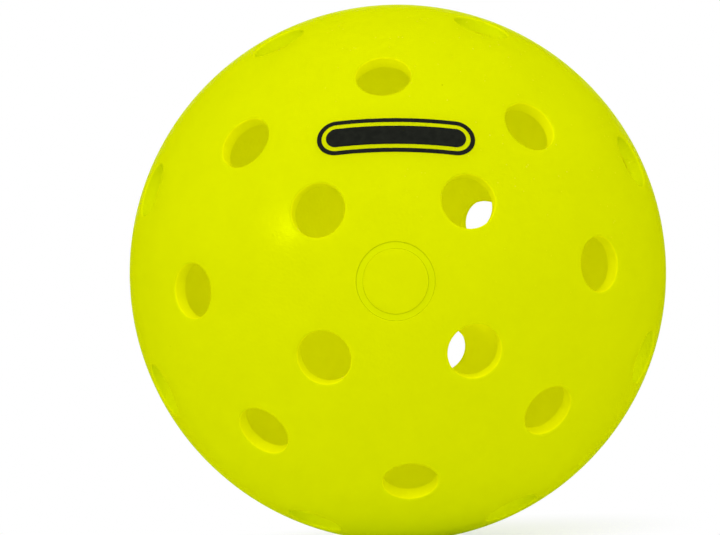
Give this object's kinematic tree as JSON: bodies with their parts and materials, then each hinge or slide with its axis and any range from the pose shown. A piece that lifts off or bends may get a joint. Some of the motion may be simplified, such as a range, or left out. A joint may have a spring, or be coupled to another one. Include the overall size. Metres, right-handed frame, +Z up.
{
  "type": "pickleball ball",
  "caption": "Hollow perforated plastic court ball made of two drilled half shells joined by a weld band at the equator, with a plain printed badge.",
  "frame": {"origin": "centre of the ball", "axes": "-Y along the pole axis out of the front pole, towards the viewer of the picture; +X to the viewer's right; +Z up"},
  "size_m": [0.074, 0.074, 0.074],
  "materials": {
    "shell_plastic": "moulded fluorescent yellow-green polyethylene, satin, finely pitted",
    "weld_plastic": "remelted and trimmed yellow-green polyethylene, slightly smoother",
    "badge_ink": "pad-printed black ink, semi-matte"
  },
  "bodies": {
    "root": {"front_half_shell": "shell_plastic", "rear_half_shell": "shell_plastic", "seam_weld": "weld_plastic", "printed_badge": "badge_ink"}
  },
  "joints": []
}
